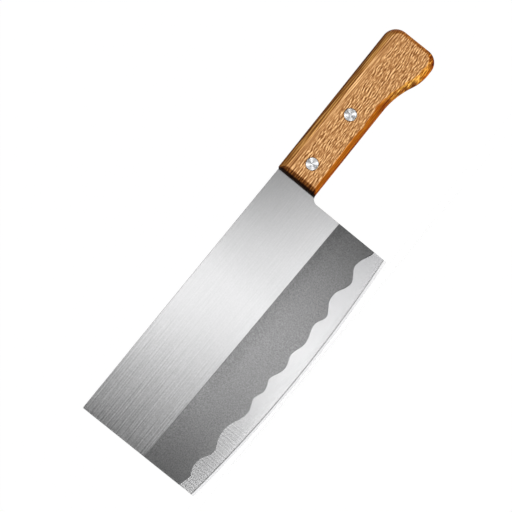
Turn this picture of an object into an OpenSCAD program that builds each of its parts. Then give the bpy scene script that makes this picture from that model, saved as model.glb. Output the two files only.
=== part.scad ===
// A broad chopping knife: a ground steel blade with a short slab tang, riveted into
// a one-piece hardwood handle. Millimetres. X runs from the blade's front to the butt
// of the handle, Y is the thickness, and Z runs from the cutting edge up to the spine.
// The origin is under the middle of the knife, level with the lowest point of the edge.

/* [Blade] */
// Length of the blade along the spine, from its front to its heel
blade_l = 179; // [150:1:215]
// Deepest width of the blade, from the spine to the cutting edge
blade_w = 88; // [76:1:100]
// Thickness of the sheet that the blade and the tang are cut from
sheet_t = 2.6; // [2:0.1:4]
// Steel ground off each side of the blade, but not off the tang
flat_grind = 0.1; // [0.05:0.05:0.2]
// Radius of the curved cutting edge
edge_r = 890; // [600:10:1500]
// Distance of the edge's lowest point behind the front of the blade
edge_peak = 92; // [70:1:110]
// Angle by which the front of the blade leans back
front_lean = 0.75; // [0:0.05:2]
// Size of the small nips that take the points off the blade's corners
corner_nip = 0.6; // [0.2:0.1:1.5]

/* [Grinding] */
// Depth below the spine, at the front, of the line where the wide bevel starts
shoulder_front = 45.5; // [38:0.5:52]
// Depth of the same line at the heel
shoulder_heel = 48.1; // [40:0.1:52]
// Thickness where the wide bevel meets the sharpened edge
edge_t = 0.9; // [0.5:0.1:1.4]
// Height of the sharpened edge
sharp_h = 1.3; // [0.8:0.1:2.5]
// Width of the flat that is left at the very edge
edge_land = 0.1; // [0.06:0.02:0.2]

/* [Blasted band] */
// Depth to which blasting has worn the dark band below the bright steel
blast_depth = 0.05; // [0.03:0.01:0.1]
// Depth below the spine of the lowest point of the band's wavy lower line
wave_drop = 77.4; // [70:0.1:80]
// Height from the lowest to the highest point of the wavy line
wave_h = 6.6; // [3:0.1:9]

/* [Neck and tang] */
// Length of bare steel between the heel and the handle
neck_l = 2.7; // [1.5:0.1:3.5]
// Radius of the hollow corner under the neck
neck_fillet_r = 4; // [2:0.5:8]
// Length of the tang inside the handle
tang_l = 60; // [56:1:62]

/* [Handle] */
// Length of the handle
handle_l = 108.4; // [100:0.1:120]
// Height of the handle at its front
handle_h = 27.6; // [24:0.1:32]
// Thickness of the handle
handle_t = 20; // [16:0.5:26]
// Height of the handle at the butt
butt_h = 35.1; // [33:0.1:42]
// How far the wood stands above the spine at the front
wood_proud = 0.7; // [0:0.1:1.5]
// Angle by which the handle rises towards the butt
handle_tilt = 0.65; // [0:0.05:3]
// Radius of the corner of the front end
front_corner_r = 1; // [0.5:0.1:2]
// Radius of the upper corner of the butt
butt_top_r = 9; // [6:0.5:14]
// Radius of the lower corner of the butt
butt_low_r = 8.5; // [6:0.5:12]
// Straight stretch at the bottom of the butt, in front of its lower corner
butt_flat = 2.5; // [1:0.5:6]
// Radius of the hollow that the little finger rests in
hollow_r = 50.5; // [40:0.5:60]
// Radius of the swell between the hollow and the butt
swell_r = 26; // [15:0.5:30]
// Width of the eased edge, seen from the side
ease_w = 3.4; // [2:0.1:4.5]
// How much of each side's thickness the eased edge takes
ease_t = 5; // [3:0.5:6]
// Angle of the crease where the flat side meets the eased edge
ease_crease = 22; // [10:1:35]

/* [Rivets] */
// Diameter of the rivet heads
rivet_head_d = 7.5; // [6:0.1:9]
// Thickness of the rivet heads
rivet_head_t = 1.4; // [1:0.1:2]
// Outer diameter of the hollow rivet's barrel
barrel_d = 5; // [4:0.1:5.6]
// Diameter of the pin that is driven into the barrel
pin_d = 3.4; // [2.6:0.1:3.6]
// Distance of the front rivet behind the front end of the handle
front_rivet_at = 14; // [10:0.5:20]
// Distance of the rear rivet behind the front end of the handle
rear_rivet_at = 50.4; // [40:0.2:52]
// Depth of the front rivet below the top of the handle
front_rivet_drop = 14.5; // [11:0.1:17]
// Depth of the rear rivet below the top of the handle
rear_rivet_drop = 14; // [11:0.1:17]
// Gap all round a barrel in its hole
barrel_gap = 0.05; // [0.02:0.01:0.1]
// Gap all round a head in its counterbore
head_gap = 0.1; // [0.05:0.05:0.2]

/* [Kerf filler] */
// Length of the resin that closes the saw kerf behind the tang
filler_l = 3; // [2:0.5:4]

/* [Hidden] */

// How far a cut runs past the surface that it cuts
overrun = 2;
// Bevel on the rim of a rivet head and on the point of a rivet pin
rivet_bevel = 0.2;
// Room left at the end of a barrel, and twice that at the end of a pin
rivet_slack = 0.4;

// Thickness of the blade once both sides are ground
blade_t = sheet_t - 2 * flat_grind;
// Length of the saw kerf that takes the tang
kerf_l = tang_l + filler_l;

// High and low points of the wavy line, in order from the front to the heel. Their
// places are shares of the blade's length, their heights shares of the wave's height.
wave_place_shares = [
    0, 0.046, 0.092, 0.16, 0.235, 0.33, 0.376, 0.419, 0.464,
    0.52, 0.569, 0.625, 0.697, 0.739, 0.811, 0.87, 0.929, 1
];
wave_height_shares = [
    0.69, 0.46, 0.79, 0.19, 0.73, 0.05, 0.46, 0.14, 0.48,
    0, 0.38, 0.03, 0.51, 0.09, 0.83, 0.26, 1, 0.42
];
// How pointed the low points are: 0 is a plain wave, 1 comes to a sharp point
wave_point_share = 0.4;
// Number of short lines between one turn of the wave and the next
wave_steps = 6;

// Number of short lines in the hollow corner under the neck
fillet_steps = 12;
// Number of short lines in each round stretch of the handle's outline
front_corner_steps = 4;
butt_corner_steps = 14;
swell_steps = 8;
hollow_steps = 10;
// Number of short lines across the eased edge
ease_steps = 8;
// Number of sides on the round parts
round_sides = 64;
edge_sides = 720;

// The hollow and the swell of the handle meet smoothly, both turned by this angle
flare_turn = acos(1 - (butt_h - handle_h) / (hollow_r + swell_r));
swell_x = handle_l - butt_low_r - butt_flat;
hollow_x = swell_x - (hollow_r + swell_r) * sin(flare_turn);

// The handle's furthest point, once it is tilted, sets the length of the whole knife
handle_reach = (handle_l - butt_low_r) * cos(handle_tilt)
    + (butt_h - butt_low_r) * sin(handle_tilt) + butt_low_r;
overall_l = blade_l + neck_l + handle_reach;

// The wide bevel runs down to the sharpened edge from the shoulder line, which slopes
shoulder_angle = atan((shoulder_heel - shoulder_front) / blade_l);
shoulder_peak = shoulder_front + edge_peak * tan(shoulder_angle);
bevel_h = blade_w - shoulder_peak - sharp_h;
bevel_slope = (blade_t - edge_t) / 2 / bevel_h;
sharp_slope = (edge_t - edge_land) / 2 / sharp_h;

// Height of the keen edge above its lowest point, x behind the front of the blade
function edge_z(x) = edge_r - sqrt(edge_r ^ 2 - (x - edge_peak) ^ 2);
function front_x(z) = (blade_w - z) * tan(front_lean);
function shoulder_z(x) = blade_w - shoulder_front - x * tan(shoulder_angle);
// A point of the handle's own side view, seen in the blade's side view
function from_handle(x, z) = [
    blade_l + neck_l + x * cos(handle_tilt) - z * sin(handle_tilt),
    blade_w + wood_proud + x * sin(handle_tilt) + z * cos(handle_tilt)
];
// Height of the tang's underside, x behind the front of the blade
function underside_z(x) =
    from_handle(0, -handle_h).y + (x - from_handle(0, -handle_h).x) * tan(handle_tilt);
function arc(centre, r, from, to, steps) = [
    for (i = [0:steps]) centre + r * [cos(from + (to - from) * i / steps),
                                      sin(from + (to - from) * i / steps)]
];
function drop_first(list) = [for (i = [1:len(list) - 1]) list[i]];
function mix(a, b, share) = a + (b - a) * share;

// Height of the centre of the hollow corner under the neck
fillet_z = underside_z(blade_l + neck_fillet_r) - neck_fillet_r / cos(handle_tilt);

// Places a child drawn from the front of the blade
module from_blade_front() {
    translate([-overall_l / 2, 0, 0]) children();
}

// Places a child drawn from the top of the handle's front end
module from_handle_front() {
    start = from_handle(0, 0);
    from_blade_front() translate([start.x, 0, start.y]) rotate([0, -handle_tilt, 0]) children();
}

// Turns a side view into a slab of that thickness, centred on the knife's mid-plane
module slab(thickness) {
    rotate([90, 0, 0]) linear_extrude(thickness, center = true) children();
}

// Places a child along a rivet's axis, with its Z running in from the front side
module rivet_from_front(x, drop) {
    from_handle_front() translate([x, -handle_t / 2, -drop]) rotate([-90, 0, 0]) children();
}

module rivet_from_back(x, drop) {
    from_handle_front() translate([x, handle_t / 2, -drop]) rotate([90, 0, 0]) children();
}

// Side view of the whole sheet of steel: blade, neck and tang. The blade runs on below
// the edge, which is ground to shape. The tang's front rises to lie flush in the wood.
module steel_side_view() {
    toe_z = edge_z(0) + corner_nip;
    heel_z = edge_z(blade_l) + corner_nip;
    nip_run = corner_nip + overrun;
    polygon(concat(
        [
            [blade_l + neck_l, blade_w],
            [corner_nip, blade_w],
            [front_x(blade_w - corner_nip), blade_w - corner_nip],
            [front_x(toe_z), toe_z],
            [front_x(toe_z) + nip_run, toe_z - nip_run],
            [front_x(toe_z) + nip_run, -overrun],
            [blade_l - nip_run, -overrun],
            [blade_l - nip_run, heel_z - nip_run],
            [blade_l, heel_z]
        ],
        arc([blade_l + neck_fillet_r, fillet_z], neck_fillet_r, 180, 90 + handle_tilt, fillet_steps),
        [
            from_handle(tang_l, -handle_h),
            from_handle(tang_l, 0),
            from_handle(wood_proud + front_corner_r, 0)
        ]
    ));
}

// The blade's cross-section, run along the shoulder line: two flats above the line and
// the wide bevel below it. A shave takes the same depth off all four faces.
module ground_section(shave) {
    up = blade_w;
    down = bevel_h + sharp_h + overrun * 2;
    half_top = blade_t / 2 - shave;
    half_low = half_top - down * bevel_slope;
    translate([0, 0, shoulder_z(0)])
        rotate([0, shoulder_angle, 0])
        translate([-overrun, 0, 0])
        rotate([90, 0, 90])
        linear_extrude(overall_l)
        polygon([
            [-half_top, up], [-half_top, 0], [-half_low, -down],
            [half_low, -down], [half_top, 0], [half_top, up]
        ]);
}

// A great thin disc whose bevelled rim is the sharpened, curved edge
module sharpened_disc() {
    half = sheet_t;
    rim = (half - edge_land / 2) / sharp_slope;
    translate([edge_peak, 0, edge_r])
        rotate([90, 0, 0])
        rotate_extrude($fn = edge_sides)
        polygon([
            [0, -half], [edge_r - rim, -half], [edge_r, -edge_land / 2],
            [edge_r, edge_land / 2], [edge_r - rim, half], [0, half]
        ]);
}

// Height share of the wavy line a part of the way from one turn to the next
function wave_turn(a, b, part) =
    let (plain = (1 - cos(180 * part)) / 2)
    let (pointed = a > b ? 1 - cos(90 * part) : sin(90 * part))
    mix(a, b, mix(plain, pointed, wave_point_share));

function wave_line() = [
    for (i = [0:len(wave_place_shares) - 2]) for (j = [0:wave_steps - 1])
        let (part = j / wave_steps)
        [
            blade_l * mix(wave_place_shares[i], wave_place_shares[i + 1], part),
            blade_w - wave_drop
                + wave_h * wave_turn(wave_height_shares[i], wave_height_shares[i + 1], part)
        ]
];

// Side view of the blasted band, from the shoulder line down to the wavy line
module blasted_side_view() {
    wave = wave_line();
    front_z = wave[0].y;
    heel_z = blade_w - wave_drop + wave_h * wave_height_shares[len(wave_height_shares) - 1];
    polygon(concat(
        [[-overrun, shoulder_z(-overrun)], [-overrun, front_z]],
        wave,
        [[blade_l, heel_z], [blade_l + overrun, heel_z]],
        [[blade_l + overrun, shoulder_z(blade_l + overrun)]]
    ));
}

// What grinding takes off both sides of the sheet, in front of the handle
module ground_off() {
    difference() {
        from_handle_front() translate([-overall_l, -sheet_t, -overall_l / 2])
            cube([overall_l, 2 * sheet_t, overall_l]);
        from_blade_front() ground_section(0);
    }
}

// What blasting wears away on both sides, between the shoulder line and the wavy line
module blasted_off() {
    from_blade_front() difference() {
        slab(sheet_t * 2) blasted_side_view();
        ground_section(blast_depth);
    }
}

module rivet_clearance() {
    cylinder(h = handle_t, r = barrel_d / 2 + barrel_gap, $fn = round_sides);
}

module blade() {
    difference() {
        color("silver") from_blade_front() intersection() {
            slab(sheet_t) steel_side_view();
            sharpened_disc();
        }
        color("silver") ground_off();
        color("dimgray") blasted_off();
        rivet_from_front(front_rivet_at, front_rivet_drop) rivet_clearance();
        rivet_from_front(rear_rivet_at, rear_rivet_drop) rivet_clearance();
    }
}

// The handle's outline, moved in by an inset, clockwise from its upper front corner
function handle_outline(inset) = concat(
    arc([inset + front_corner_r, -inset - front_corner_r],
        front_corner_r, 180, 90, front_corner_steps),
    arc([handle_l - butt_top_r, -butt_top_r],
        butt_top_r - inset, 90, 0, butt_corner_steps),
    arc([handle_l - butt_low_r, butt_low_r - butt_h],
        butt_low_r - inset, 0, -90, butt_corner_steps),
    arc([swell_x, swell_r - butt_h],
        swell_r - inset, -90, -90 - flare_turn, swell_steps),
    drop_first(arc([hollow_x, -handle_h - hollow_r],
        hollow_r + inset, 90 - flare_turn, 90, hollow_steps)),
    arc([inset + front_corner_r, inset + front_corner_r - handle_h],
        front_corner_r, -90, -180, front_corner_steps)
);

// Place across the eased edge: how far in from the outline, and how far from mid-plane
function ease_point(i) =
    let (turn = mix(ease_crease, 90, i / ease_steps))
    [
        ease_w * (1 - (sin(turn) - sin(ease_crease)) / (1 - sin(ease_crease))),
        handle_t / 2 - ease_t * (cos(ease_crease) - cos(turn)) / cos(ease_crease)
    ];

// The bare wooden form: a ring of points for each step across the eased edges. The
// outermost rings stand past the flat sides, which are then cut to the thickness.
module handle_form() {
    past = 2 * ease_point(0) - ease_point(1);
    half = concat([for (i = [ease_steps:-1:1]) ease_point(i)], [past]);
    across = concat([for (i = [ease_steps:-1:0]) [half[i][0], -half[i][1]]], half);
    rings = [for (place = across) [for (p = handle_outline(place[0])) [p.x, place[1], p.y]]];
    n = len(rings[0]);
    last = len(rings) - 1;
    front_side = [[for (i = [0:n - 1]) i]];
    back_side = [[for (i = [n - 1:-1:0]) last * n + i]];
    bands = [
        for (r = [0:last - 1]) for (i = [0:n - 1])
            let (j = (i + 1) % n)
            each [
                [r * n + i, (r + 1) * n + i, (r + 1) * n + j],
                [r * n + i, (r + 1) * n + j, r * n + j]
            ]
    ];
    intersection() {
        polyhedron(
            points = [for (ring = rings) each ring],
            faces = concat(front_side, bands, back_side)
        );
        translate([-overrun, -handle_t / 2, -butt_h - overrun])
            cube([handle_l + 2 * overrun, handle_t, butt_h + 2 * overrun]);
    }
}

// The through hole for one rivet, with a counterbore for each head
module rivet_hole() {
    head_r = rivet_head_d / 2 + head_gap;
    translate([0, 0, -overrun])
        cylinder(h = handle_t + 2 * overrun, r = barrel_d / 2 + barrel_gap, $fn = round_sides);
    translate([0, 0, -overrun])
        cylinder(h = rivet_head_t + overrun, r = head_r, $fn = round_sides);
    translate([0, 0, handle_t - rivet_head_t])
        cylinder(h = rivet_head_t + overrun, r = head_r, $fn = round_sides);
}

module handle() {
    color("peru") difference() {
        from_handle_front() handle_form();
        from_handle_front()
            translate([-overrun, -sheet_t / 2, -butt_h - overrun])
            cube([kerf_l + overrun, sheet_t, butt_h + 2 * overrun]);
        rivet_from_front(front_rivet_at, front_rivet_drop) rivet_hole();
        rivet_from_front(rear_rivet_at, rear_rivet_drop) rivet_hole();
    }
}

// Dark resin that fills the kerf from the end of the tang on, flush with the wood
module kerf_filler() {
    color("saddlebrown") from_handle_front() intersection() {
        handle_form();
        translate([tang_l, -sheet_t / 2, -butt_h - overrun])
            cube([filler_l, sheet_t, butt_h + 2 * overrun]);
    }
}

// One half of a rivet: its head with a hollow barrel
module rivet_body() {
    head_r = rivet_head_d / 2;
    barrel_end = handle_t - rivet_head_t - rivet_slack;
    color("gainsboro") rotate_extrude($fn = round_sides) polygon([
        [0, 0], [head_r - rivet_bevel, 0], [head_r, rivet_bevel], [head_r, rivet_head_t],
        [barrel_d / 2, rivet_head_t], [barrel_d / 2, barrel_end], [pin_d / 2, barrel_end],
        [pin_d / 2, rivet_head_t], [0, rivet_head_t]
    ]);
}

// The other half: its head with the pin that is driven into the barrel
module rivet_pin() {
    head_r = rivet_head_d / 2;
    pin_end = handle_t - rivet_head_t - 2 * rivet_slack;
    color("gainsboro") rotate_extrude($fn = round_sides) polygon([
        [0, 0], [head_r - rivet_bevel, 0], [head_r, rivet_bevel], [head_r, rivet_head_t],
        [pin_d / 2, rivet_head_t], [pin_d / 2, pin_end - rivet_bevel],
        [pin_d / 2 - rivet_bevel, pin_end], [0, pin_end]
    ]);
}

module front_rivet_body() {
    rivet_from_front(front_rivet_at, front_rivet_drop) rivet_body();
}

module front_rivet_pin() {
    rivet_from_back(front_rivet_at, front_rivet_drop) rivet_pin();
}

module rear_rivet_body() {
    rivet_from_front(rear_rivet_at, rear_rivet_drop) rivet_body();
}

module rear_rivet_pin() {
    rivet_from_back(rear_rivet_at, rear_rivet_drop) rivet_pin();
}

blade();
handle();
kerf_filler();
front_rivet_body();
front_rivet_pin();
rear_rivet_body();
rear_rivet_pin();
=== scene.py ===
import math

import bmesh
import bpy
from mathutils import Matrix, Quaternion, Vector


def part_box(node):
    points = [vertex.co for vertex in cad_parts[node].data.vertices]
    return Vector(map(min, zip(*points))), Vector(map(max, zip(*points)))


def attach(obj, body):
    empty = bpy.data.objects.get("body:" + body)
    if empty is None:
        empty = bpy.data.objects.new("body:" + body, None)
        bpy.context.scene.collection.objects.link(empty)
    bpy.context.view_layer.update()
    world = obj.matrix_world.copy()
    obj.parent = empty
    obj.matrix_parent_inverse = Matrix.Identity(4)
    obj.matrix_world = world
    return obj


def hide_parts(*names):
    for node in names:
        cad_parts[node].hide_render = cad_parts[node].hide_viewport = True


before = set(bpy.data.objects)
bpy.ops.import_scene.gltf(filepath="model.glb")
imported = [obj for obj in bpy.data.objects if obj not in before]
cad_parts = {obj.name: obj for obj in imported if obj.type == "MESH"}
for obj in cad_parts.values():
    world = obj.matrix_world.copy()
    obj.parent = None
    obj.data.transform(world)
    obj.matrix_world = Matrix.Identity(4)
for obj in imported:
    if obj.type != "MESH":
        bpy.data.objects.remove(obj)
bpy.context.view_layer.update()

# The blade: one sheet of stainless steel, ground flat, then ground again to a wide bevel
# that is blasted grey down to a wavy line. Its neck and tang run back into the handle.
blade_front = -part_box("handle")[1].x

# Sizes in metres: x runs back from the blade's front, and z up from the edge's lowest point
blade_length = 0.179
spine_z = 0.088
flat_half = 0.0012
neck_length = 0.0027
neck_fillet = 0.004
front_lean = math.radians(0.62)
edge_radius = 0.890
edge_peak = 0.092
shoulder_front = 0.0461
shoulder_heel = 0.0481
bevel_end_half = 0.00045
sharp_height = 0.0013
edge_land_half = 0.00005
edge_line_height = 0.0007
burr_height = 0.0003
blast_depth = 0.00005
blast_fade = 0.0003
rim_bevel = 0.00025
# How far in front of the wood the painted shadow on the steel starts, and how far in front of it
# the shadow is full
shadow_width = 0.0007
shadow_gap = 0.0001
corner_round = 0.0007
flat_line_spacings = (0.0025, 0.0015)
strip_line_spacings = (0.0024, 0.0016)

tang_half = 0.0013
tang_length = 0.060
handle_height = 0.0276
handle_tilt = math.radians(0.65)
wood_proud = 0.0007
tang_rise_length = 0.0017

# The wavy line's high and low points, as shares of the blade's length and the wave's height,
# and how full each fall is from a high point to the low one beside it
wave_low_z = 0.0105
wave_height = 0.0066
wave_place_shares = (0, 0.042, 0.084, 0.154, 0.231, 0.329, 0.375, 0.418, 0.461,
                     0.519, 0.567, 0.623, 0.692, 0.736, 0.806, 0.871, 0.928, 1)
wave_height_shares = (0.69, 0.46, 0.81, 0.21, 0.73, 0.06, 0.49, 0.16, 0.51,
                      0.02, 0.38, 0.04, 0.48, 0.07, 0.84, 0.26, 0.98, 0.42)
wave_fullness = (1, 1.5, 1.35, 1.35, 1.1, 1, 1, 1, 0.8, 1, 1, 1, 1, 1.4, 1, 1, 1.1)


def mix(a, b, share):
    """A value that share of the way from a to b."""
    return a + (b - a) * share


def edge_z(x):
    """Height of the keen edge, x behind the front of the blade."""
    return edge_radius - math.sqrt(edge_radius ** 2 - (x - edge_peak) ** 2)


def shoulder_z(x):
    """Height of the line where the flat ends and the wide bevel starts."""
    return spine_z - mix(shoulder_front, shoulder_heel, x / blade_length)


bevel_slope = (flat_half - bevel_end_half) / (shoulder_z(edge_peak) - sharp_height)


def wave_z(x):
    """Height of the wavy line, whose high points are mostly fuller than its low ones."""
    share = min(max(x / blade_length, 0), 1)
    turn = 0
    while turn < len(wave_place_shares) - 2 and share > wave_place_shares[turn + 1]:
        turn += 1
    start, end = wave_place_shares[turn], wave_place_shares[turn + 1]
    part = (share - start) / (end - start)
    low, high = wave_height_shares[turn], wave_height_shares[turn + 1]
    past_high = part if low > high else 1 - part
    fall = (1 - math.cos(math.pi * past_high ** wave_fullness[turn])) / 2
    return wave_low_z + wave_height * mix(max(low, high), min(low, high), fall)


def handle_point(x, z):
    """A point of the handle's own side view, as distances behind the blade's front and up."""
    return (
        blade_length + neck_length + x * math.cos(handle_tilt) - z * math.sin(handle_tilt),
        spine_z + wood_proud + x * math.sin(handle_tilt) + z * math.cos(handle_tilt),
    )


neck_end, wood_top_z = handle_point(0, 0)
under_corner_x, under_corner_z = handle_point(0, -handle_height)


def underside_z(x):
    """Height of the underside of the neck and tang: a hollow corner, then a straight line."""
    slope = math.tan(handle_tilt)
    line = under_corner_z + (x - under_corner_x) * slope
    past_heel = x - blade_length
    if past_heel >= neck_fillet:
        return line
    centre_z = under_corner_z + (blade_length + neck_fillet - under_corner_x) * slope - neck_fillet
    return centre_z + math.sqrt(max(neck_fillet ** 2 - (neck_fillet - max(past_heel, 0)) ** 2, 0))


def rounded_off(distance):
    """How far a rounded corner draws the outline in, that far from the corner."""
    if distance >= corner_round:
        return 0
    return corner_round - math.sqrt(corner_round ** 2 - (corner_round - distance) ** 2)


def top_z(x):
    """Height of the spine, and then of the tang, which rises to lie flush in the wood."""
    if x <= neck_end:
        return spine_z - rounded_off(x)
    flush = wood_top_z + (x - neck_end) * math.tan(handle_tilt)
    return min(flush, spine_z + (x - neck_end) * wood_proud / tang_rise_length)


def sharp_top_z(x):
    """Height at which the wide bevel gives way to the sharpened edge."""
    sharp_slope = (bevel_end_half - edge_land_half) / sharp_height
    drop = shoulder_z(x) - edge_z(x)
    rise = (flat_half - drop * bevel_slope - edge_land_half) / (sharp_slope - bevel_slope)
    return edge_z(x) + rise


def surface_half(x, z, sunk):
    """Half the blade's thickness at a point, before its outline is bevelled."""
    if x > neck_end:
        return tang_half
    bevel = flat_half - max(shoulder_z(x) - z, 0) * bevel_slope
    return bevel - (blast_depth if sunk else 0)


# Places along the blade: close together at the corners, and every millimetre between
corner_places = [0, 0.00008, 0.00018, rim_bevel, 0.00045, corner_round]
even_count = 177
even_places = [mix(corner_round, blade_length - corner_round, i / even_count)
               for i in range(1, even_count)]
heel_places = [blade_length - place for place in reversed(corner_places)]
fillet_places = [blade_length + neck_fillet * (1 - math.cos(math.radians(turn)))
                 for turn in (12, 24, 36, 48, 60)]
tang_places = [neck_end, neck_end + 0.0001, neck_end + 0.0009, neck_end + tang_rise_length,
               neck_end + 0.01, neck_end + 0.03, neck_end + tang_length]
places = corner_places + even_places + heel_places + fillet_places + tang_places

FLAT, BLASTED, CROSS_GROUND, EDGE_LINE, SHARPENED, BURR, RIM = range(7)


def column_rows(x):
    """(height, half thickness, finish of the cell below) for each row of one column."""
    top = top_z(x)
    neck = underside_z(x)
    flat_rows = [(top, 0, FLAT), (top - rim_bevel, 0, FLAT)]
    for share in (0.25, 0.5, 0.75):
        flat_rows.append((mix(top, neck, share), 0, FLAT))
    flat_rows += [(neck + rim_bevel, 0, FLAT), (neck, 0, FLAT)]
    neck_row = len(flat_rows)
    rows = [(z, surface_half(x, z, False), finish) for z, _, finish in flat_rows]
    rows[0] = (top, rows[0][1] - rim_bevel, FLAT)
    if x > blade_length:
        rows[-1] = (neck, rows[-1][1] - rim_bevel, FLAT)
        return rows
    shoulder, wave = shoulder_z(x), wave_z(x)
    sharp_top = sharp_top_z(x)
    edge = edge_z(x) + rounded_off(x) + rounded_off(blade_length - x)
    rows.append((mix(neck, shoulder, 0.5), flat_half, FLAT))
    rows.append((shoulder, flat_half, BLASTED))
    for z in (shoulder - blast_fade, mix(shoulder, wave, 0.35), mix(shoulder, wave, 0.7),
              wave + blast_fade):
        rows.append((z, surface_half(x, z, True), BLASTED))
    for z in (wave, mix(wave, sharp_top, 0.5)):
        rows.append((z, surface_half(x, z, False), CROSS_GROUND))
    line_z = sharp_top + edge_line_height
    rows.append((line_z, surface_half(x, line_z, False), EDGE_LINE))
    sharp_half = surface_half(x, sharp_top, False)
    rows.append((sharp_top, sharp_half, SHARPENED))
    burr_share = burr_height / (sharp_top - edge)
    rows.append((edge + burr_height, mix(edge_land_half, sharp_half, burr_share), BURR))
    rows.append((edge, edge_land_half, BURR))
    for i, (z, half, finish) in enumerate(rows):
        from_side = x if i < neck_row else min(x, blade_length - x)
        if from_side < rim_bevel:
            half = max(half - rim_bevel + from_side, edge_land_half)
        rows[i] = (max(z, edge), half, finish)
    return rows


def finished_mesh(bm, name):
    """Keeps a shape that has been built face by face as a mesh."""
    mesh = bpy.data.meshes.new(name)
    bm.to_mesh(mesh)
    bm.free()
    return mesh


def blade_mesh():
    """The near side as a grid, the far side as its mirror image, and a rim between them."""
    bm = bmesh.new()
    uv = bm.loops.layers.uv.new("along_blade")
    near, far, finishes = {}, {}, {}
    for column, x in enumerate(places):
        for row, (z, half, finish) in enumerate(column_rows(x)):
            lean = (spine_z - z) * math.tan(front_lean) * max(1 - x / blade_length, 0)
            place = Vector((blade_front + x + lean, -half, z))
            near[row, column] = bm.verts.new(place)
            far[row, column] = bm.verts.new((place.x, half, place.z))
            finishes[row, column] = finish
    edges = {}
    for (row, column), finish in finishes.items():
        corners = [(row, column), (row + 1, column), (row + 1, column + 1), (row, column + 1)]
        if not all(c in near for c in corners):
            continue
        for side, order in ((near, corners), (far, corners[::-1])):
            face = bm.faces.new([side[c] for c in order])
            face.material_index = finish
        for i in range(4):
            pair = (corners[i], corners[(i + 1) % 4])
            edges[pair] = finish
    for (a, b), finish in edges.items():
        if (b, a) not in edges:
            face = bm.faces.new([near[b], near[a], far[a], far[b]])
            face.material_index = RIM if finish == FLAT else finish
    bmesh.ops.recalc_face_normals(bm, faces=bm.faces)
    for face in bm.faces:
        for loop in face.loops:
            loop[uv].uv = (loop.vert.co.x, loop.vert.co.z)
    return finished_mesh(bm, "blade_steel")


def add_piece(name, mesh):
    """Puts a mesh into the scene as a piece of its own."""
    piece = bpy.data.objects.new(name, mesh)
    bpy.context.scene.collection.objects.link(piece)
    return piece


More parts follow.
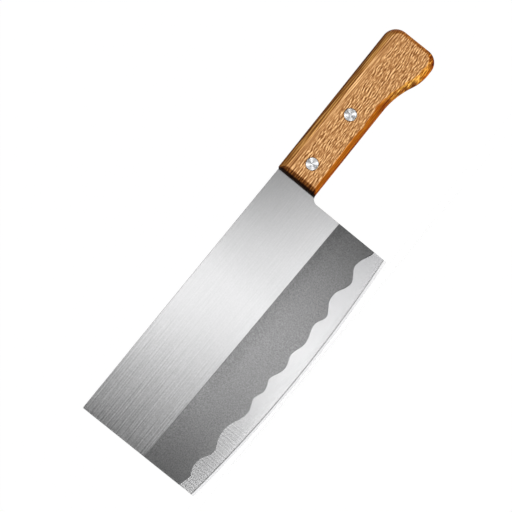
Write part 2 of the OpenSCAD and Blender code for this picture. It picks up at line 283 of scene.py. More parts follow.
class Finish:
    """A material and its nodes, with short calls for the few kinds of node used here."""

    def __init__(self, name):
        self.material = bpy.data.materials.new(name)
        self.material.use_nodes = True
        self.nodes = self.material.node_tree.nodes
        self.links = self.material.node_tree.links
        self.shader = self.nodes["Principled BSDF"]
        self.place = self.nodes.new("ShaderNodeTexCoord").outputs["Object"]

    def set(self, **values):
        """Sets values that are the same all over the surface."""
        for name, value in values.items():
            self.shader.inputs[name.replace("_", " ")].default_value = value

    def feed(self, source, socket):
        """Leads a result into one of the shader's sockets."""
        self.links.new(source, self.shader.inputs[socket])

    def stretched(self, per_metre, place=None):
        """The place on the piece, scaled to a number of repeats per metre each way."""
        node = self.nodes.new("ShaderNodeMapping")
        node.inputs["Scale"].default_value = per_metre
        self.links.new(place or self.place, node.inputs["Vector"])
        return node.outputs["Vector"]

    def part(self, axis, vector=None):
        """One part of a vector, such as the height of the place on the piece."""
        node = self.nodes.new("ShaderNodeSeparateXYZ")
        self.links.new(vector or self.place, node.inputs[0])
        return node.outputs[axis]

    def behind(self, start):
        """How far behind a place along the knife, such as the blade's front."""
        return self.sum(self.part("X"), -start)

    def noise(self, per_metre, detail=3, roughness=0.55, place=None):
        """Random clouds, with a number of repeats per metre each way."""
        node = self.nodes.new("ShaderNodeTexNoise")
        node.inputs["Scale"].default_value = 1
        node.inputs["Detail"].default_value = detail
        node.inputs["Roughness"].default_value = roughness
        self.links.new(self.stretched(per_metre, place), node.inputs["Vector"])
        return node.outputs["Fac"]

    def even_lines(self, axis, spacing, amount):
        """Nearly straight lines at an even spacing along the X or the Z axis, and square to it."""
        node = self.nodes.new("ShaderNodeTexWave")
        node.bands_direction = axis
        node.inputs["Scale"].default_value = math.pi / 10 / spacing
        node.inputs["Distortion"].default_value = 1.5
        node.inputs["Detail Scale"].default_value = 0.5
        long_bends = {"X": (1, 1, 0.2), "Z": (0.2, 1, 1)}
        self.links.new(self.stretched(long_bends[axis]), node.inputs["Vector"])
        return self.spread(node.outputs["Fac"], 0, 1, -amount, amount)

    def spread(self, source, low, high, to_low=0, to_high=1):
        """A value between low and high, taken to a value between two others."""
        node = self.nodes.new("ShaderNodeMapRange")
        for socket, value in zip(("From Min", "From Max", "To Min", "To Max"),
                                 (low, high, to_low, to_high)):
            node.inputs[socket].default_value = value
        self.links.new(source, node.inputs["Value"])
        return node.outputs["Result"]

    def combined(self, operation, *sources):
        """Two or more values worked into one, such as the greatest of them."""
        total = sources[0]
        for source in sources[1:]:
            node = self.nodes.new("ShaderNodeMath")
            node.operation = operation
            for socket, value in zip(node.inputs, (total, source)):
                if isinstance(value, (int, float)):
                    socket.default_value = value
                else:
                    self.links.new(value, socket)
            total = node.outputs[0]
        return total

    def sum(self, *sources):
        return self.combined("ADD", *sources)

    def product(self, *sources):
        return self.combined("MULTIPLY", *sources)

    def rest(self, share):
        """What is left of one after a share is taken."""
        return self.spread(share, 0, 1, 1, 0)

    def blend(self, share, first, second, kind="MIX"):
        """A colour that share of the way from the first to the second."""
        node = self.nodes.new("ShaderNodeMix")
        node.data_type = "RGBA"
        node.blend_type = kind
        for socket, value in (("Factor", share), ("A", first), ("B", second)):
            target = [s for s in node.inputs if s.name == socket and s.enabled][0]
            if isinstance(value, bpy.types.NodeSocket):
                self.links.new(value, target)
            else:
                target.default_value = value
        return [s for s in node.outputs if s.enabled][0]

    def tint(self, share, colour, shade):
        """A colour multiplied by a shade, as far as the share says."""
        return self.blend(share, colour, shade, "MULTIPLY")

    def bump(self, height, strength, depth):
        """Raises the surface by a pattern, as the light sees it, by up to a depth in metres."""
        node = self.nodes.new("ShaderNodeBump")
        node.inputs["Strength"].default_value = strength
        node.inputs["Distance"].default_value = depth
        self.links.new(height, node.inputs["Height"])
        self.feed(node.outputs["Normal"], "Normal")

    def brushed(self, strength, rotation):
        """Stretches the gloss across fine grinding lines that run along the blade, or turned."""
        node = self.nodes.new("ShaderNodeTangent")
        node.direction_type = "UV_MAP"
        node.uv_map = "along_blade"
        self.feed(node.outputs["Tangent"], "Tangent")
        self.set(Anisotropic=strength, Anisotropic_Rotation=rotation)


def grey(level):
    """Steel grey, a trace cooler than neutral."""
    return (level, level, level * 1.01, 1)


def ground_flat():
    """Long fine lines along the blade, deepest at its front, painted light and shade along the
    flats, and a painted shadow beside the wood.
    """
    finish = Finish("ground_flat")
    finish.set(Metallic=1, Roughness=0.28)
    finish.brushed(0.85, 0.25)
    scratches = finish.sum(finish.noise((30, 20, 1400), 0), finish.noise((80, 40, 1900), 0),
                           finish.noise((1300, 1300, 1600), 0))
    from_front = finish.behind(blade_front)
    depth = finish.spread(from_front, 0.005, 0.085, 1, 0.13)
    wide, close = flat_line_spacings
    lines = finish.sum(finish.even_lines("Z", wide, 0.18), finish.even_lines("Z", close, 0.3),
                       finish.spread(scratches, 0.75, 2.25, -1, 1))
    tone = finish.product(lines, depth)
    steel = finish.blend(finish.spread(tone, -1, 1), grey(0.3), grey(0.64))
    grain = finish.noise((1300, 1300, 1300), 1)
    steel = finish.blend(finish.spread(grain, 0.3, 0.7, 0, 0.12), steel, grey(0.3))
    # Painted light and shade: near both ends the flats are lighter by the shoulder and darker by
    # the spine, and darker at the very front and before the heel
    toward_end = finish.combined("MAXIMUM", finish.spread(from_front, 0.07, 0.035),
                                 finish.spread(from_front, 0.125, 0.165))
    painted_by_height = finish.spread(finish.part("Z"), shoulder_z(0), spine_z, 0.14, -0.1)
    at_front = finish.spread(from_front, 0, 0.01, 0.86, 1)
    before_heel = finish.product(finish.spread(from_front, 0.11, 0.13),
                                 finish.spread(from_front, 0.178, 0.155))
    painted_light_and_shade = finish.product(finish.sum(finish.product(toward_end, painted_by_height), 1), at_front,
                            finish.spread(before_heel, 0, 1, 1, 0.92))
    steel = finish.tint(1, steel, painted_light_and_shade)
    # A painted shadow: the steel goes near black just in front of the wood
    wood_shadow = finish.spread(from_front, neck_end - shadow_width, neck_end - shadow_gap)
    finish.feed(finish.blend(wood_shadow, steel, grey(0.01)), "Base Color")
    finish.bump(tone, 0.04, 0.00004)
    return finish.material


def blasted():
    """A fine even grain with no direction, darker than the ground steel, with painted light and
    shade along it that is darkest at the heel.
    """
    finish = Finish("blasted_band")
    finish.set(Metallic=1, Roughness=0.29)
    grain = finish.sum(finish.noise((1250, 1250, 1250), 1), finish.noise((2100, 2100, 2100), 2))
    tone = finish.blend(finish.spread(grain, 0.7, 1.3), grey(0.22), grey(0.38))
    from_front = finish.behind(blade_front)
    # Painted light and shade: the band darker at the front, a little lighter behind it, darker near
    # the shoulder past the front, and darkest at the heel
    toward_front = finish.spread(from_front, 0, 0.045, 0.85, 1)
    toward_heel = finish.spread(from_front, 0.035, blade_length, 1.1, 0.33)
    near_shoulder = finish.product(finish.spread(finish.part("Z"), 0.031, 0.039),
                                   finish.spread(from_front, 0.055, 0.075))
    painted_light_and_shade = finish.product(toward_front, toward_heel, finish.spread(near_shoulder, 0, 1, 1, 0.85))
    finish.feed(finish.tint(1, tone, painted_light_and_shade), "Base Color")
    finish.bump(grain, 0.15, 0.00006)
    return finish.material


def cross_ground():
    """Short lines from the wavy line down to the edge, deepest at the front, with painted light and
    shade along them.
    """
    finish = Finish("cross_ground_strip")
    finish.set(Metallic=1, Roughness=0.25)
    finish.brushed(0.95, 0)
    scratches = finish.sum(finish.noise((1800, 6, 8), 0), finish.noise((1400, 5, 6), 0))
    wide, close = strip_line_spacings
    lines = finish.sum(finish.even_lines("X", wide, 0.45), finish.even_lines("X", close, 0.45),
                       finish.spread(scratches, 0.5, 1.5, -0.15, 0.15))
    from_front = finish.behind(blade_front)
    depth = finish.spread(from_front, 0.02, 0.075, 0.85, 0.12)
    tone = finish.product(lines, depth)
    steel = finish.blend(finish.spread(tone, -1, 1), grey(0.7), grey(1))
    # Painted light and shade: a little lighter at the very front and darker from 10 to 70 mm behind
    # it
    after_front = finish.product(finish.spread(from_front, 0.01, 0.02),
                                 finish.spread(from_front, 0.07, 0.045))
    painted_light_and_shade = finish.product(finish.spread(after_front, 0, 1, 1, 0.91),
                            finish.spread(from_front, 0.002, 0.012, 1.1, 1))
    steel = finish.tint(1, steel, painted_light_and_shade)
    # Painted shade: darker from 105 mm behind the front back to the heel
    toward_heel = finish.spread(from_front, 0.105, blade_length)
    finish.feed(finish.tint(toward_heel, steel, grey(0.64)), "Base Color")
    return finish.material


def sharpened():
    """The polished edge, with the finest scratches across it."""
    finish = Finish("sharpened_edge")
    finish.set(Metallic=1, Roughness=0.3)
    lines = finish.noise((4200, 80, 80), 2)
    finish.feed(finish.blend(lines, grey(0.78), grey(0.88)), "Base Color")
    finish.bump(lines, 0.08, 0.00003)
    return finish.material


def fine_line(name, low, high):
    """A line of darker steel where two grindings meet, or at the keen edge itself."""
    finish = Finish(name)
    finish.set(Metallic=1, Roughness=0.3)
    lines = finish.noise((1250, 30, 60), 2)
    finish.feed(finish.blend(lines, grey(low), grey(high)), "Base Color")
    finish.bump(lines, 0.08, 0.00003)
    return finish.material


def cut_rim():
    """The narrow face all round the sheet, left dull where it was cut out."""
    finish = Finish("cut_rim")
    finish.set(Metallic=1, Roughness=0.7)
    lines = finish.noise((90, 2400, 90), 2)
    finish.feed(finish.blend(lines, grey(0.12), grey(0.24)), "Base Color")
    finish.bump(lines, 0.1, 0.00003)
    return finish.material


blade = add_piece("blade_steel", blade_mesh())
for steel in (ground_flat(), blasted(), cross_ground(), fine_line("edge_line", 0.26, 0.4),
              sharpened(), fine_line("burr_line", 0.7, 0.85), cut_rim()):
    blade.data.materials.append(steel)
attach(blade, "root")
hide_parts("blade")

# The handle: one piece of oiled hardwood, sawn up the middle for the tang, its edges eased
# by hand all round, with a hollow for the little finger and a swell at the butt.
handle_length = 0.1084
handle_half = 0.010
butt_height = 0.0351
front_corner = 0.001
butt_top_corner = 0.009
butt_low_corner = 0.0085
butt_flat = 0.0025
hollow_radius = 0.0505
swell_radius = 0.026
ease_depth = 0.005
ease_crease = math.radians(22)
ease_front = 0.0045
ease_top = 0.004
ease_butt = 0.0022
ease_low = 0.0041
ease_low_front = 0.003
hand_sway = 0.0005
hand_sway_start = 0.03
hand_sway_rise = 0.02
kerf_length = 0.063
kerf_overrun = 0.002
bore_slack = 0.00005
ripple_sway = 0.001
grain_slant = math.radians(4)
swell_start = (0.0675, 0.0775)
front_corner_steps = 6
butt_corner_steps = 24
flare_steps = 40
straight_steps = 50
ease_steps = 14

flare_turn = math.acos(1 - (butt_height - handle_height) / (hollow_radius + swell_radius))
swell_x = handle_length - butt_low_corner - butt_flat
hollow_x = swell_x - (hollow_radius + swell_radius) * math.sin(flare_turn)
handle_front = blade_front + neck_end
handle_place = (
    Matrix.Translation((handle_front, 0, wood_top_z))
    @ Matrix.Rotation(-handle_tilt, 4, "Y")
)

# The rivets' sizes, and their places behind the wood's front end and up from its top
rivet_head_radius = 0.00375
rivet_head_depth = 0.0014
barrel_radius = 0.0025
pin_radius = 0.0017
rivet_places = {"front": (0.014, -0.0145), "rear": (0.0504, -0.014)}
rivet_ring = (0.0001, 0.0006)


def arc(centre, radii, start, end, steps):
    """Points of an ellipse's arc from one angle to another, in degrees."""
    turns = [math.radians(mix(start, end, i / steps)) for i in range(steps + 1)]
    return [(centre[0] + radii[0] * math.cos(t), centre[1] + radii[1] * math.sin(t))
            for t in turns]


def hand_shaped(x):
    """How much the eased edge's start sways along the underside, which is done by hand."""
    past_front = min(max((x - hand_sway_start) / hand_sway_rise, 0), 1)
    waves = ((0.0046, 1, 0), (0.0017, 0.5, 1), (0.0009, 0.4, 0))
    sway = sum(height * math.sin(x / length + start) for length, height, start in waves)
    return hand_sway * sway * past_front


def handle_outline(share):
    """The handle's side view, moved in by that share of the eased edge's width."""
    front, top, butt = ease_front * share, ease_top * share, ease_butt * share
    low, low_front = ease_low * share, ease_low_front * share
    flare = math.degrees(flare_turn)
    corner = (front_corner, front_corner)
    belly = [(x, z + hand_shaped(x) * share) for x, z in
             arc((swell_x, swell_radius - butt_height),
                 (swell_radius - low,) * 2, -90, -90 - flare, flare_steps)
             + arc((hollow_x, -handle_height - hollow_radius),
                   (hollow_radius + low,) * 2, 90 - flare, 90, flare_steps)[1:]]
    start_x, end_x = front + front_corner, belly[-1][0]
    for i in range(1, straight_steps):
        x = mix(end_x, start_x, i / straight_steps)
        z = mix(low, low_front, i / straight_steps) - handle_height
        belly.append((x, z + hand_shaped(x) * share))
    return (
        arc((front + front_corner, -top - front_corner), corner, 180, 90, front_corner_steps)
        + arc((handle_length - butt_top_corner, -butt_top_corner),
              (butt_top_corner - butt, butt_top_corner - top), 90, 0, butt_corner_steps)
        + arc((handle_length - butt_low_corner, butt_low_corner - butt_height),
              (butt_low_corner - butt, butt_low_corner - low), 0, -90, butt_corner_steps)
        + belly
        + arc((front + front_corner, low_front + front_corner - handle_height),
              corner, -90, -180, front_corner_steps)
    )


def ease_profile():
    """(share of the ease's width, share of its depth) from the flat side to the outline."""
    start = math.sin(ease_crease)
    profile = [(1.14, 0), (1.07, 0.002), (1.0, 0.01)]
    for i in range(1, ease_steps + 1):
        turn = mix(ease_crease, math.pi / 2, i / ease_steps)
        profile.append((1 - (math.sin(turn) - start) / (1 - start),
                        (math.cos(ease_crease) - math.cos(turn)) / math.cos(ease_crease)))
    return profile


def ring_mesh(name, rings):
    """A closed mesh through rings of as many points each, with flat ends."""
    bm = bmesh.new()
    rows = [[bm.verts.new(point) for point in ring] for ring in rings]
    count = len(rows[0])
    for first, second in zip(rows, rows[1:]):
        for i in range(count):
            j = (i + 1) % count
            face = bm.faces.new([first[i], second[i], second[j], first[j]])
            face.smooth = True
    bm.faces.new(rows[0])
    bm.faces.new(rows[-1][::-1])
    bmesh.ops.recalc_face_normals(bm, faces=bm.faces)
    return finished_mesh(bm, name)


def handle_mesh():
    """The outline swept from the near side, out over both eased edges, to the far side."""
    half_rings = [(share, handle_half - ease_depth * depth) for share, depth in ease_profile()]
    across = [(share, -half) for share, half in half_rings]
    across += [(share, half) for share, half in reversed(half_rings)]
    rings = [[(x, y, z) for x, z in handle_outline(share)] for share, y in across]
    return ring_mesh("handle_wood", rings)


def lathe(name, profile, sides=96):
    """A turned mesh from (radius, depth) points, its axis along Y."""
    bm = bmesh.new()
    rows = []
    for radius, depth in profile:
        if radius == 0:
            rows.append([bm.verts.new((0, depth, 0))])
            continue
        turns = [2 * math.pi * i / sides for i in range(sides)]
        rows.append([bm.verts.new((radius * math.cos(t), depth, radius * math.sin(t)))
                     for t in turns])
    for first, second in zip(rows, rows[1:]):
        for i in range(sides):
            j = (i + 1) % sides
            corners = [first[i % len(first)], first[j % len(first)],
                       second[j % len(second)], second[i % len(second)]]
            corners = list(dict.fromkeys(corners))
            if len(corners) > 2:
                bm.faces.new(corners)
    bmesh.ops.recalc_face_normals(bm, faces=bm.faces)
    return finished_mesh(bm, name)


def box_mesh(name, low, high):
    """A box between two corners, for a cutter."""
    bm = bmesh.new()
    bmesh.ops.create_cube(bm, size=1)
    for vert in bm.verts:
        vert.co = [mix(low[i], high[i], vert.co[i] + 0.5) for i in range(3)]
    return finished_mesh(bm, name)


def cut_away(piece, cutters):
    """Cuts the cutters out of a piece for good, and clears them away."""
    for cutter in cutters:
        cut = piece.modifiers.new("cut", "BOOLEAN")
        cut.operation = "DIFFERENCE"
        cut.solver = "EXACT"
        cut.object = cutter
    bpy.context.view_layer.update()
    cut_piece = piece.evaluated_get(bpy.context.evaluated_depsgraph_get())
    mesh = bpy.data.meshes.new_from_object(cut_piece)
    piece.modifiers.clear()
    old = piece.data
    piece.data = mesh
    bpy.data.meshes.remove(old)
    for cutter in cutters:
        bpy.data.objects.remove(cutter)


def rivet_hole(name, place, counterbored):
    """A cutter for one rivet's hole, through the wood or through the tang."""
    reach = handle_half + kerf_overrun
    hole = barrel_radius + bore_slack
    head = rivet_head_radius + bore_slack * 2
    seat = handle_half - rivet_head_depth
    if counterbored:
        profile = [(0, -reach), (head, -reach), (head, -seat), (hole, -seat),
                   (hole, seat), (head, seat), (head, reach), (0, reach)]
    else:
        profile = [(0, -reach), (hole, -reach), (hole, reach), (0, reach)]
    cutter = add_piece(name, lathe(name, profile))
    cutter.data.transform(handle_place @ Matrix.Translation((place[0], 0, place[1])))
    return cutter


def strands(finish, per_metre, place=None):
    """Fine dashes of an even thickness laid along the wood, with some uneven ones among them."""
    across, through, upward = per_metre
    dashes = finish.nodes.new("ShaderNodeTexGabor")
    dashes.gabor_type = "3D"
    for socket, value in (("Scale", 1), ("Frequency", 1.3), ("Anisotropy", 1)):
        dashes.inputs[socket].default_value = value
    direction = [s for s in dashes.inputs if s.name == "Orientation" and s.enabled][0]
    direction.default_value = (0, 0, 1)
    finish.links.new(finish.stretched(per_metre, place), dashes.inputs["Vector"])
    uneven = finish.noise((across, through, upward * 1.8), 2, 0.6, place)
    return finish.sum(finish.spread(dashes.outputs["Value"], -0.5, 1.5, -0.66, 0.66),
                      finish.spread(uneven, 0, 1, 0.2, 0.8))


def rippled_place(finish):
    """The place on the wood, bent up and down at random and turned by the grain's slant."""
    bend = finish.nodes.new("ShaderNodeCombineXYZ")
    sway = finish.noise((130, 30, 100), 2)
    finish.links.new(finish.spread(sway, 0, 1, -ripple_sway, ripple_sway), bend.inputs["Z"])
    moved = finish.nodes.new("ShaderNodeVectorMath")
    finish.links.new(finish.place, moved.inputs[0])
    finish.links.new(bend.outputs[0], moved.inputs[1])
    slanted = finish.nodes.new("ShaderNodeMapping")
    slanted.inputs["Rotation"].default_value[1] = grain_slant
    finish.links.new(moved.outputs["Vector"], slanted.inputs["Vector"])
    return slanted.outputs["Vector"]


def fibre_height(finish, up, back):
    """Rippled fibres, but straight ones near the spine, the front end and the belly."""
    rippled = strands(finish, (340, 300, 520), rippled_place(finish))
    straight = strands(finish, (60, 450, 520))
    near_spine = finish.spread(finish.part("Z"), 0.080, 0.084)
    near_front = finish.spread(finish.behind(handle_front), 0.0095, 0.0055)
    belly = finish.product(finish.spread(up, -0.1, -0.3),
                           finish.rest(finish.spread(finish.behind(handle_front), *swell_start)))
    calm = finish.combined("MAXIMUM", near_spine, near_front, belly)
    fibres = finish.sum(finish.product(straight, calm), finish.product(rippled, finish.rest(calm)))
    contrast = finish.product(finish.spread(belly, 0, 1, 1, 0.55),
                              finish.spread(back, 0.5, 0.8, 1, 0.6))
    return finish.product(finish.sum(fibres, -0.5), contrast)


def fibre_colour(finish, fibres):
    """From dark brown between the fibres to pale tan on them."""
    bands = finish.noise((12, 60, 120), 2)
    tone = finish.sum(fibres, finish.spread(bands, 0, 1, 0.47, 0.53))
    colour = finish.nodes.new("ShaderNodeValToRGB")
    colour.color_ramp.elements.new(0.5)
    stops = ((0.34, (0.17, 0.056, 0.012, 1)), (0.5, (0.46, 0.22, 0.08, 1)),
             (0.64, (0.92, 0.56, 0.26, 1)))
    for stop, (where, shade) in zip(colour.color_ramp.elements, stops):
        stop.position = where
        stop.color = shade
    finish.links.new(tone, colour.inputs[0])
    return colour.outputs["Color"]


def belly_shade(finish, up):
    """Deep orange under the hollow, and mottled tan on the swell but for its lowest part: the
    wood's colour there, with painted light and shade on the underside.
    """
    from_front = finish.behind(handle_front)
    lowest = finish.product(finish.spread(from_front, 0.0905, 0.0945),
                            finish.spread(up, -0.3, -0.75, 0.35, 1))
    pale = finish.product(finish.spread(from_front, *swell_start), finish.rest(lowest))
    mottle = finish.spread(finish.noise((240, 240, 240), 2), 0.35, 0.65)
    tan = finish.blend(mottle, (1.35, 1.25, 0.5, 1), (2.1, 2.05, 1.05, 1))
    return finish.blend(pale, (0.95, 0.54, 0.075, 1), tan)


def scorched(finish, wood, turned, up):
    """Thin burnt streaks where the hollow meets the swell, and marks on the lowest corner."""
    from_front = finish.behind(handle_front)
    streaks = finish.spread(finish.noise((90, 260, 1500), 2), 0.54, 0.6)
    there = finish.product(finish.spread(turned, 0.985, 0.96), finish.spread(up, 0.1, -0.1),
                           finish.spread(from_front, 0.0535, 0.0635),
                           finish.spread(from_front, 0.0855, 0.0815))
    wood = finish.tint(finish.product(there, streaks), wood, (0.45, 0.22, 0.12, 1))
    marks = finish.spread(finish.noise((700, 260, 500), 2), 0.44, 0.52)
    there = finish.product(finish.spread(turned, 0.99, 0.96),
                           finish.spread(from_front, 0.1015, 0.1035),
                           finish.spread(finish.part("Z"), 0.0655, 0.063))
    return finish.tint(finish.product(there, marks), wood, (0.4, 0.22, 0.12, 1))


def rivet_rings(finish, wood):
    """A dark line round each rivet head: a painted shadow of the gap at its rim, with wood darkened
    there by oil and dust.
    """
    for rivet_x, rivet_z in rivet_places.values():
        offset = finish.nodes.new("ShaderNodeVectorMath")
        offset.operation = "SUBTRACT"
        finish.links.new(finish.place, offset.inputs[0])
        offset.inputs[1].default_value = handle_place @ Vector((rivet_x, 0, rivet_z))
        away = finish.nodes.new("ShaderNodeVectorMath")
        away.operation = "LENGTH"
        flat_offset = finish.stretched((1, 0, 1), offset.outputs["Vector"])
        finish.links.new(flat_offset, away.inputs[0])
        past_head = finish.sum(away.outputs["Value"], -rivet_head_radius)
        ring = finish.spread(past_head, *rivet_ring, 0.6, 0)
        # A painted shadow of the gap round the head, with darkened wood
        wood = finish.blend(ring, wood, (0.05, 0.02, 0.01, 1))
    return wood


def handle_wood():
    """Tan wood with short rippled fibres, and painted light and shade on its eased edges, nearly
    black in front where the end grain is darker too.
    """
    finish = Finish("oiled_wood")
    normal = finish.nodes.new("ShaderNodeTexCoord").outputs["Normal"]
    up, back = finish.part("Z", normal), finish.part("X", normal)
    turned = finish.combined("ABSOLUTE", finish.part("Y", normal), 0)
    fibres = fibre_height(finish, up, back)
    wood = fibre_colour(finish, fibres)
    # Painted light and shade on the eased edges by which way the surface faces: which way, where
    # its shade starts and is full, how strongly, the shade
    for source, start, full, amount, shade in (
            (up, 0.05, 0.35, 1, (0.52, 0.45, 0.28, 1)),
            (up, 0.55, 0.85, 1, (0.3, 0.2, 0.06, 1)),
            (up, -0.6, -0.9, 1, (1.05, 0.82, 0.17, 1)),
            (back, 0.2, 0.5, 0.9, (0.75, 0.5, 0.18, 1)),
            (back, -0.1, -0.36, 0.97, (0.24, 0.14, 0.05, 1)),
            (back, -0.55, -0.72, 0.98, (0.06, 0.05, 0.05, 1))):
        wood = finish.tint(finish.spread(source, start, full, 0, amount), wood, shade)
    # The underside takes the belly's colour, with painted light and shade on it
    wood = finish.tint(finish.spread(up, -0.1, -0.36), wood, belly_shade(finish, up))
    # A painted highlight: the crease where each flat side meets its eased edge, lightened
    crease_highlight = finish.product(finish.spread(turned, 0.999, 0.99),
                                 finish.spread(turned, 0.93, 0.95))
    wood = finish.tint(crease_highlight, wood, (1.18, 1.16, 1.12, 1))
    wood = rivet_rings(finish, scorched(finish, wood, turned, up))
    finish.feed(wood, "Base Color")
    finish.set(Roughness=0.7, Specular_IOR_Level=0.05)
    finish.bump(fibres, 0.4, 0.00015)
    return finish.material


handle = add_piece("handle_wood", handle_mesh())
handle.data.transform(handle_place)
kerf_low = (-kerf_overrun, -tang_half, -butt_height)
kerf_high = (kerf_length, tang_half, kerf_overrun)
kerf = add_piece("kerf", box_mesh("kerf", kerf_low, kerf_high))
kerf.data.transform(handle_place)
bores = [rivet_hole(end + "_bore", place, True) for end, place in rivet_places.items()]
tang_holes = [rivet_hole(end + "_tang_hole", place, False) for end, place in rivet_places.items()]
cut_away(handle, [kerf] + bores)
cut_away(blade, tang_holes)
handle.data.materials.clear()
handle.data.materials.append(handle_wood())
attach(handle, "root")
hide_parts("handle")

# The rivets: each is a head with a hollow barrel from the near side, and a head with a pin
# that is driven into it from the far side. The heads are faced on a lathe and lie flush.
rivet_bevel = 0.0001
barrel_slack = 0.0004


def head_profile():
    """The faced end of a head, from the middle out to its small bevel and down its side."""
    return [(0, 0), (rivet_head_radius - rivet_bevel, 0),
            (rivet_head_radius, rivet_bevel), (rivet_head_radius, rivet_head_depth)]


def body_profile():
    """The head and then the hollow barrel, outside and inside."""
    barrel_end = handle_half * 2 - rivet_head_depth - barrel_slack
    return head_profile() + [
        (barrel_radius, rivet_head_depth), (barrel_radius, barrel_end),
        (pin_radius, barrel_end), (pin_radius, rivet_head_depth), (0, rivet_head_depth)
    ]


def pin_profile():
    """The head and then the pin, which stops short of the other head."""
    pin_end = handle_half * 2 - rivet_head_depth - barrel_slack * 2
    return head_profile() + [
        (pin_radius, rivet_head_depth), (pin_radius, pin_end - rivet_bevel),
        (pin_radius - rivet_bevel, pin_end), (0, pin_end)
    ]


def faced_steel():
    """Bright steel with turned rings, which draw the light out into a cross."""
    finish = Finish("faced_rivet_steel")
    finish.set(Metallic=1, Roughness=0.5, Anisotropic=0.88)
    tangent = finish.nodes.new("ShaderNodeTangent")
    tangent.direction_type = "RADIAL"
    tangent.axis = "Y"
    finish.feed(tangent.outputs["Tangent"], "Tangent")
    cloud = finish.noise((900, 900, 900), 3)
    finish.feed(finish.blend(cloud, grey(0.76), grey(0.84)), "Base Color")
    return finish.material


rivet_finish = faced_steel()
for end, (rivet_x, rivet_z) in rivet_places.items():
    for half_name, profile, side in (("body", body_profile(), -1), ("pin", pin_profile(), 1)):
        name = f"{end}_rivet_{half_name}"
        depths = [(radius, side * (handle_half - depth)) for radius, depth in profile]
        rivet = add_piece(name + "_steel", lathe(name + "_steel", depths))
        rivet.data.transform(handle_place @ Matrix.Translation((rivet_x, 0, rivet_z)))
        rivet.data.materials.append(rivet_finish)
        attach(rivet, "root")
        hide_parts(name)

# The kerf filler: dark resin poured into the saw cut behind the tang, left to set and
# sanded flush with the wood. The CAD piece has the right shape and stays.
resin_dark = (0.02, 0.011, 0.007, 1)
resin_pale = (0.05, 0.028, 0.016, 1)


def resin():
    """Cured resin, mottled by what was sanded into it."""
    finish = Finish("dark_resin")
    mottle = finish.noise((500, 500, 500), 3)
    finish.feed(finish.blend(mottle, resin_dark, resin_pale), "Base Color")
    finish.set(Roughness=0.35)
    finish.bump(mottle, 0.2, 0.00005)
    return finish.material


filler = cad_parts["kerf_filler"]
filler.data.materials.clear()
filler.data.materials.append(resin())

# The stage: a pale lit floor that fades out into a white surround, which only the camera
# sees. Each side of the knife has a tall narrow light that the blade mirrors and two wide
# ones from above, and weak panels overhead and at both ends light its narrow faces.
view_width = 0.3007
view_centre = Vector((-0.0118, 0, 0.0657))
view_roll = math.radians(50.7)
camera_distance = 2.5
sheen_aim = (-0.038, 0, 0.05)
sheen_away = 0.55
sheen_size = (0.12, 1.2)
sheen_lean = 23
sheen_brightness = 2.97
panel_aim = (0.05, 0, 0.06)
panel_away = 0.95
panel_height = 0.87
panel_size = (0.6, 0.6)
overhead_height = 1.2
overhead_size = (0.9, 0.9)
overhead_brightness = 0.9
end_away = 1.2
end_height = 0.2
end_size = (0.7, 0.7)
floor_radius = 0.6
floor_fade = (0.17, 0.42)
floor_glow = 0.62
surround_radius = 8


def make_floor():
    """A disc that glows, so that the knife's shadow on it stays faint, and fades at its rim."""
    bm = bmesh.new()
    bmesh.ops.create_circle(bm, cap_ends=True, segments=96, radius=floor_radius)
    floor = add_piece("floor", finished_mesh(bm, "floor"))
    finish = Finish("pale_floor")
    distance = finish.nodes.new("ShaderNodeVectorMath")
    distance.operation = "LENGTH"
    finish.links.new(finish.stretched((1, 4, 1)), distance.inputs[0])
    finish.set(Base_Color=(0.32, 0.32, 0.32, 1), Roughness=0.8)
    finish.set(Emission_Color=(1, 1, 1, 1), Emission_Strength=floor_glow)
    finish.feed(finish.spread(distance.outputs["Value"], *floor_fade, 1, 0), "Alpha")
    floor.data.materials.append(finish.material)
    return floor


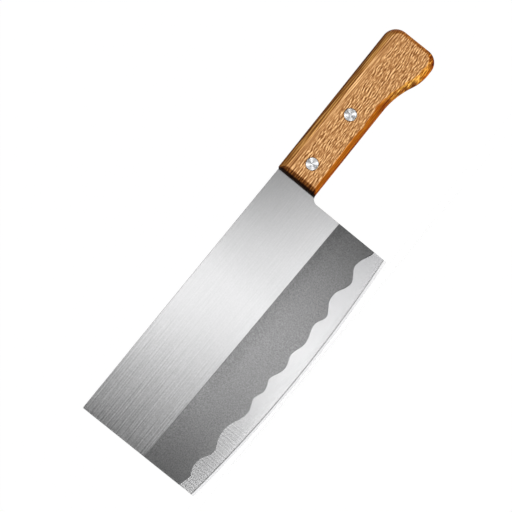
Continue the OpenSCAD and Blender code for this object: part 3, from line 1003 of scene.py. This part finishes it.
def make_surround():
    """A white ball round everything that only the camera sees, so it lights nothing."""
    bm = bmesh.new()
    bmesh.ops.create_icosphere(bm, subdivisions=4, radius=surround_radius)
    surround = add_piece("surround", finished_mesh(bm, "surround"))
    finish = Finish("white_surround")
    finish.set(Base_Color=(0, 0, 0, 1), Emission_Strength=1, Emission_Color=(1, 1, 1, 1))
    surround.data.materials.append(finish.material)
    surround.visible_diffuse = False
    surround.visible_glossy = False
    surround.visible_transmission = False
    surround.visible_shadow = False
    return surround


def soft_light(name, place, aim, size, brightness, tilt=0):
    """An evenly bright panel, tilted in its own plane by some degrees."""
    light = bpy.data.lights.new(name, "AREA")
    light.shape = "RECTANGLE"
    light.size, light.size_y = size
    light.energy = math.pi * size[0] * size[1] * brightness
    lamp = bpy.data.objects.new(name, light)
    bpy.context.scene.collection.objects.link(lamp)
    lamp.location = place
    facing = (Vector(aim) - Vector(place)).to_track_quat("-Z", "Y")
    lamp.rotation_euler = (facing @ Quaternion((0, 0, 1), math.radians(tilt))).to_euler()
    lamp.visible_camera = False


make_floor()
make_surround()
for side, near in (("front", -1), ("back", 1)):
    sheen_place = (sheen_aim[0], near * sheen_away, sheen_aim[2])
    soft_light(side + "_sheen", sheen_place, sheen_aim, sheen_size, sheen_brightness,
               -near * sheen_lean)
    for end, x, brightness in (("tip", -0.75, 10), ("butt", 0.87, 14)):
        panel_place = (x, near * panel_away, panel_height)
        soft_light(f"{side}_{end}_panel", panel_place, panel_aim, panel_size, brightness)
soft_light("overhead_panel", (0, 0, overhead_height), (0, 0, 0), overhead_size,
           overhead_brightness)
for end, x in (("tip", -end_away), ("butt", end_away)):
    soft_light(end + "_end_panel", (x, 0, end_height), (0, 0, panel_aim[2]), end_size, 1)

world = bpy.data.worlds.new("studio")
world.use_nodes = True
world.node_tree.nodes["Background"].inputs["Strength"].default_value = 0
bpy.context.scene.world = world
bpy.context.scene.view_settings.view_transform = "Standard"

camera = bpy.data.cameras.new("camera")
camera.sensor_width = 36
camera.lens = camera.sensor_width * camera_distance / view_width
camera_object = bpy.data.objects.new("camera", camera)
bpy.context.scene.collection.objects.link(camera_object)
camera_object.matrix_world = (
    Matrix.Translation(view_centre - Vector((0, camera_distance, 0)))
    @ Matrix.Rotation(view_roll, 4, "Y")
    @ Matrix.Rotation(math.radians(90), 4, "X")
)
bpy.context.scene.camera = camera_object
